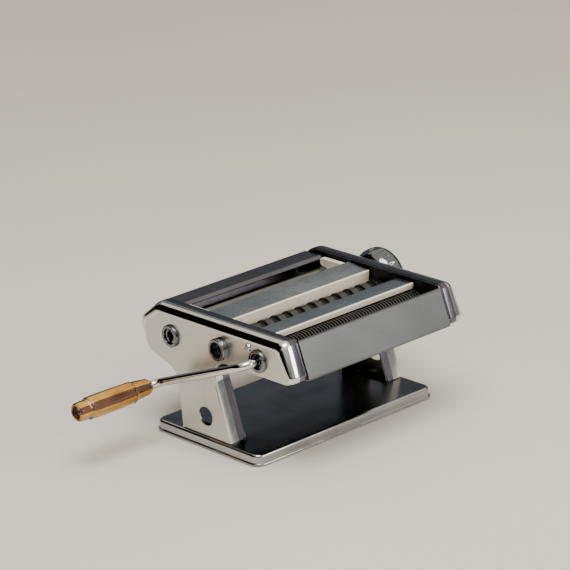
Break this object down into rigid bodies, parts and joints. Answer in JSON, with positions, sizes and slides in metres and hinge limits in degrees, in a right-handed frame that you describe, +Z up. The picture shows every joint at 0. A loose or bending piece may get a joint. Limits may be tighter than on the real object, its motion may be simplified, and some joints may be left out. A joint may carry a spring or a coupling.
{
  "type": "pasta roller machine",
  "caption": "Hand-cranked pasta machine: a gap-adjustable pair of smooth rollers, a wide and a fine noodle cutter between pressed chrome side plates on a tray base.",
  "frame": {"origin": "middle of the whole machine's footprint, crank and knob included, on the table", "axes": "+X along the rollers from the crank to the gap knob, +Y from the noodle outlet to the rear, +Z up"},
  "size_m": [0.31, 0.1816, 0.109],
  "materials": {
    "chrome": "bright chrome plate on pressed steel",
    "roller_steel": "ground and chromed steel",
    "cutter_steel": "turned and chromed steel",
    "cover_steel": "bright chromed sheet",
    "panel_steel": "satin chromed sheet",
    "inner_steel": "plain rolled steel",
    "bearing_nylon": "moulded nylon",
    "rubber": "matt moulded rubber",
    "amber_plastic": "clear amber moulding, polished"
  },
  "bodies": {
    "frame": {"base_tray": "chrome", "foot_front_left": "rubber", "foot_front_right": "rubber", "foot_rear_left": "rubber", "foot_rear_right": "rubber", "side_plate_crank": "chrome", "side_plate_knob": "chrome", "cheek_plate_crank": "inner_steel", "cheek_plate_knob": "inner_steel", "bush_smooth_rear_crank": "bearing_nylon", "bush_wide_rear_crank": "bearing_nylon", "bush_wide_front_crank": "bearing_nylon", "bush_fine_rear_crank": "bearing_nylon", "bush_fine_front_crank": "bearing_nylon", "bush_smooth_rear_knob": "bearing_nylon", "bush_wide_rear_knob": "bearing_nylon", "bush_wide_front_knob": "bearing_nylon", "bush_fine_rear_knob": "bearing_nylon", "bush_fine_front_knob": "bearing_nylon", "tie_rod_top_front": "chrome", "tie_rod_lower_rear": "inner_steel", "tie_rod_lower_middle": "inner_steel", "drive_ferrule_smooth": "chrome", "drive_ferrule_wide": "chrome", "drive_ferrule_fine": "chrome", "rear_cover": "cover_steel", "middle_top_plate": "cover_steel", "front_top_plate": "cover_steel", "front_panel": "panel_steel", "dough_guide_crank": "bearing_nylon", "dough_guide_knob": "bearing_nylon", "smooth_scraper_rear": "inner_steel", "wide_comb_rear": "inner_steel", "wide_comb_front": "inner_steel", "fine_comb_rear": "inner_steel", "fine_comb_front": "inner_steel", "gap_dial": "panel_steel"},
    "gap_carriage": {"slide_block_crank": "bearing_nylon", "slide_block_knob": "bearing_nylon", "smooth_scraper_front": "inner_steel"},
    "smooth_rear_shaft": {"smooth_roller_rear": "roller_steel", "smooth_roller_gear_rear": "inner_steel"},
    "smooth_front_shaft": {"smooth_roller_front": "roller_steel", "smooth_roller_gear_front": "inner_steel"},
    "wide_rear_shaft": {"wide_cutter_rear": "cutter_steel", "wide_cutter_gear_rear": "inner_steel"},
    "wide_front_shaft": {"wide_cutter_front": "cutter_steel", "wide_cutter_gear_front": "inner_steel"},
    "fine_rear_shaft": {"fine_cutter_rear": "cutter_steel", "fine_cutter_gear_rear": "inner_steel"},
    "fine_front_shaft": {"fine_cutter_front": "cutter_steel", "fine_cutter_gear_front": "inner_steel"},
    "crank": {"crank_rod": "chrome", "crank_drive_pin": "inner_steel", "grip_retainer": "inner_steel"},
    "grip": {"crank_grip": "amber_plastic"},
    "gap_cam": {"gap_cam_shaft": "inner_steel", "knob_spring": "inner_steel"},
    "knob": {"gap_knob": "chrome"}
  },
  "joints": [
    {"name": "smooth_rear_spin", "type": "hinge", "parent": "frame", "child": "smooth_rear_shaft", "pos_m": [0.034, 0.04899, 0.084], "axis": [1, 0, 0], "continuous": true},
    {"name": "gap_slide", "type": "slide", "parent": "frame", "child": "gap_carriage", "axis": [0, 1, 0], "range_m": [0, 0.0024]},
    {"name": "smooth_front_spin", "type": "hinge", "parent": "gap_carriage", "child": "smooth_front_shaft", "pos_m": [0.034, 0.01999, 0.084], "axis": [1, 0, 0], "continuous": true},
    {"name": "wide_rear_spin", "type": "hinge", "parent": "frame", "child": "wide_rear_shaft", "pos_m": [0.034, -0.01101, 0.088], "axis": [1, 0, 0], "continuous": true},
    {"name": "wide_front_spin", "type": "hinge", "parent": "frame", "child": "wide_front_shaft", "pos_m": [0.034, -0.03101, 0.088], "axis": [1, 0, 0], "continuous": true},
    {"name": "fine_rear_spin", "type": "hinge", "parent": "frame", "child": "fine_rear_shaft", "pos_m": [0.034, -0.05301, 0.088], "axis": [1, 0, 0], "continuous": true},
    {"name": "fine_front_spin", "type": "hinge", "parent": "frame", "child": "fine_front_shaft", "pos_m": [0.034, -0.07301, 0.088], "axis": [1, 0, 0], "continuous": true},
    {"name": "crank_pull", "type": "slide", "parent": "fine_rear_shaft", "child": "crank", "axis": [-1, 0, 0], "range_m": [0, 0.03]},
    {"name": "grip_spin", "type": "hinge", "parent": "crank", "child": "grip", "pos_m": [0.034, 0.05002, 0.04948], "axis": [1, 0, 0], "continuous": true},
    {"name": "knob_turn", "type": "hinge", "parent": "frame", "child": "gap_cam", "pos_m": [0.034, 0.01999, 0.084], "axis": [1, 0, 0], "range_deg": [0, 240]},
    {"name": "knob_pull", "type": "slide", "parent": "gap_cam", "child": "knob", "axis": [1, 0, 0], "range_m": [0, 0.004], "stiffness_N_per_m": 400, "springref_m": -0.005, "deforming": ["knob_spring"]}
  ],
  "couplings": [
    {"joint": "smooth_front_spin", "follows": "smooth_rear_spin", "ratio": -1},
    {"joint": "wide_front_spin", "follows": "wide_rear_spin", "ratio": -1},
    {"joint": "fine_front_spin", "follows": "fine_rear_spin", "ratio": -1},
    {"joint": "knob_turn", "follows": "gap_slide", "rad_per_m": 1745.2}
  ]
}
